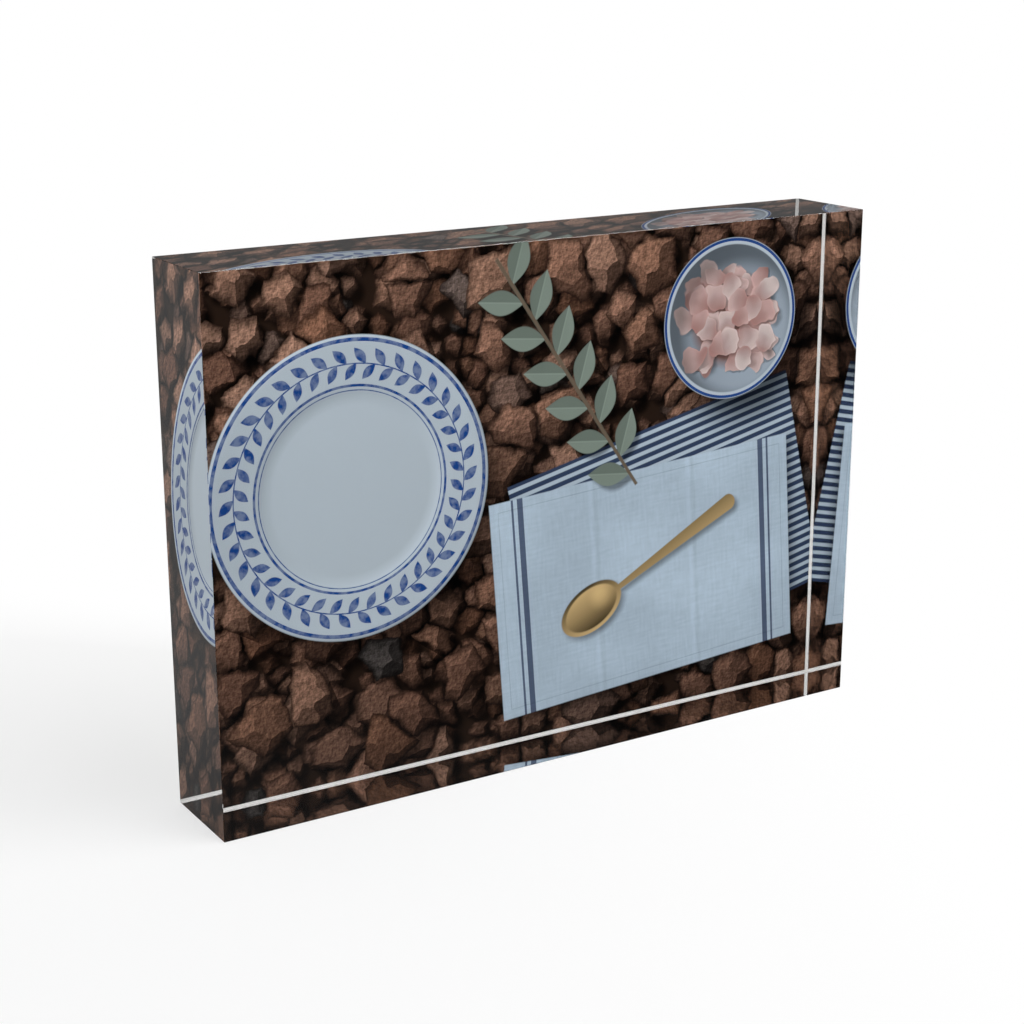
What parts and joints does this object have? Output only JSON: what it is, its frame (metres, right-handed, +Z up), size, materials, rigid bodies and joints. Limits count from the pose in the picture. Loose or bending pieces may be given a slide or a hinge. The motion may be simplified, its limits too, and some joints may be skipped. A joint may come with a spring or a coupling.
{
  "type": "acrylic photo block",
  "caption": "Free-standing clear acrylic block with polished faces and a photo print bonded to its back under a thin white cover.",
  "frame": {"origin": "middle of the footprint on the surface that the block stands on", "axes": "+X along the long edge, to the right as seen from the front; +Y from the front face towards the back; +Z up"},
  "size_m": [0.1778, 0.0262, 0.127],
  "materials": {
    "clear_acrylic": "polished",
    "clear_adhesive_film": "gloss",
    "photo_paper": "satin",
    "transfer_adhesive": "satin",
    "white_styrene": "matte"
  },
  "bodies": {
    "root": {"acrylic_block": "clear_acrylic", "mounting_film": "clear_adhesive_film", "photo_print": "photo_paper", "backing_adhesive": "transfer_adhesive", "backing_panel": "white_styrene"}
  },
  "joints": []
}
